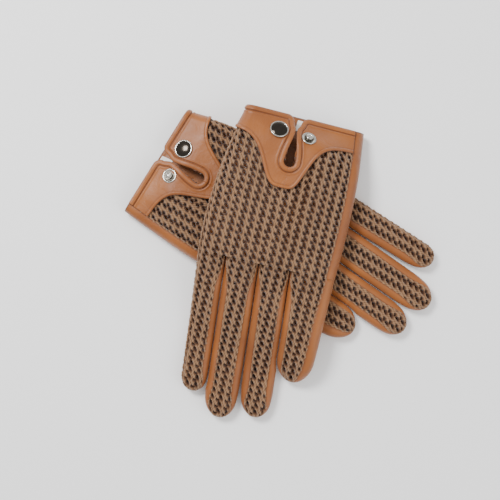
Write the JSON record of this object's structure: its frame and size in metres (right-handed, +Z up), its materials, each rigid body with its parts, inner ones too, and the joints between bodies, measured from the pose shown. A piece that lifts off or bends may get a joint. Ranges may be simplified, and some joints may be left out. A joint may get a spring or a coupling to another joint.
{
  "type": "driving gloves",
  "caption": "Leather driving gloves with knitted backs and snap wrists, laid crossed, backs up.",
  "frame": {"origin": "centre of the pair's outline, on the surface that the gloves lie on", "axes": "+Z up from the surface, towards the backs of the gloves; +X to the side that the lower glove's fingers point to; the upper glove's fingers point mostly along -Y"},
  "size_m": [0.2329, 0.2332, 0.0401],
  "materials": {
    "leather": "soft tan nappa leather with a satin sheen",
    "knit": "open crochet of twisted tan cotton yarn",
    "label": "white woven tape",
    "cap_metal": "polished dark gunmetal",
    "nickel": "bright nickel"
  },
  "bodies": {
    "right_hand": {"right_palm_trank": "leather", "right_back_knit": "knit", "right_thumb": "leather", "right_yoke": "leather", "right_cuff_facing": "leather", "right_size_label": "label", "right_index_front": "leather", "right_index_back": "knit", "right_index_fourchette": "leather", "right_middle_front": "leather", "right_middle_back": "knit", "right_middle_fourchette_a": "leather", "right_middle_fourchette_b": "leather", "right_ring_front": "leather", "right_ring_back": "knit", "right_ring_fourchette_a": "leather", "right_ring_fourchette_b": "leather", "right_little_front": "leather", "right_little_back": "knit", "right_little_fourchette": "leather"},
    "left_hand": {"left_palm_trank": "leather", "left_back_knit": "knit", "left_thumb": "leather", "left_yoke": "leather", "left_cuff_facing": "leather", "left_size_label": "label"},
    "right_cap_flap": {"right_cap_flap": "leather", "right_snap_cap": "cap_metal", "right_snap_socket": "nickel"},
    "right_stud_flap": {"right_stud_flap": "leather", "right_snap_stud": "nickel", "right_snap_post": "nickel"},
    "left_cap_flap": {"left_cap_flap": "leather", "left_snap_cap": "cap_metal", "left_snap_socket": "nickel"},
    "left_stud_flap": {"left_stud_flap": "leather", "left_snap_stud": "nickel", "left_snap_post": "nickel"},
    "left_index": {"left_index_front": "leather", "left_index_back": "knit", "left_index_fourchette": "leather"},
    "left_middle": {"left_middle_front": "leather", "left_middle_back": "knit", "left_middle_fourchette_a": "leather", "left_middle_fourchette_b": "leather"},
    "left_ring": {"left_ring_front": "leather", "left_ring_back": "knit", "left_ring_fourchette_a": "leather", "left_ring_fourchette_b": "leather"},
    "left_little": {"left_little_front": "leather", "left_little_back": "knit", "left_little_fourchette": "leather"}
  },
  "joints": [
    {"name": "left_glove_lift", "type": "slide", "parent": "right_hand", "child": "left_hand", "axis": [0, 0, 1], "range_m": [0, 0.15]},
    {"name": "right_cap_flap_fold", "type": "hinge", "parent": "right_hand", "child": "right_cap_flap", "pos_m": [-0.06466, 0.09013, 0.0179], "axis": [-0.2222, 0.9625, -0.1555], "range_deg": [0, 90]},
    {"name": "right_stud_flap_fold", "type": "hinge", "parent": "right_hand", "child": "right_stud_flap", "pos_m": [-0.08533, 0.05706, 0.01788], "axis": [0.973, 0.1595, 0.1671], "range_deg": [0, 90]},
    {"name": "left_cap_flap_fold", "type": "hinge", "parent": "left_hand", "child": "left_cap_flap", "pos_m": [-0.00923, 0.09628, 0.03765], "axis": [0.5207, -0.8332, 0.1861], "range_deg": [0, 90]},
    {"name": "left_stud_flap_fold", "type": "hinge", "parent": "left_hand", "child": "left_stud_flap", "pos_m": [0.02877, 0.08751, 0.03476], "axis": [0.7136, 0.5126, -0.4776], "range_deg": [0, 90]},
    {"name": "left_index_bend", "type": "hinge", "parent": "left_hand", "child": "left_index", "pos_m": [-0.05006, 0.00744, 0.03389], "axis": [-0.9744, 0.2249, 0], "range_deg": [0, 60]},
    {"name": "left_middle_bend", "type": "hinge", "parent": "left_hand", "child": "left_middle", "pos_m": [-0.0277, 0.00228, 0.03596], "axis": [-0.9744, 0.225, 0], "range_deg": [0, 60]},
    {"name": "left_ring_bend", "type": "hinge", "parent": "left_hand", "child": "left_ring", "pos_m": [-0.00412, -0.00316, 0.03609], "axis": [-0.9744, 0.2249, 0], "range_deg": [0, 60]},
    {"name": "left_little_bend", "type": "hinge", "parent": "left_hand", "child": "left_little", "pos_m": [0.02408, -0.00968, 0.03241], "axis": [-0.9744, 0.2249, 0], "range_deg": [0, 60]}
  ]
}
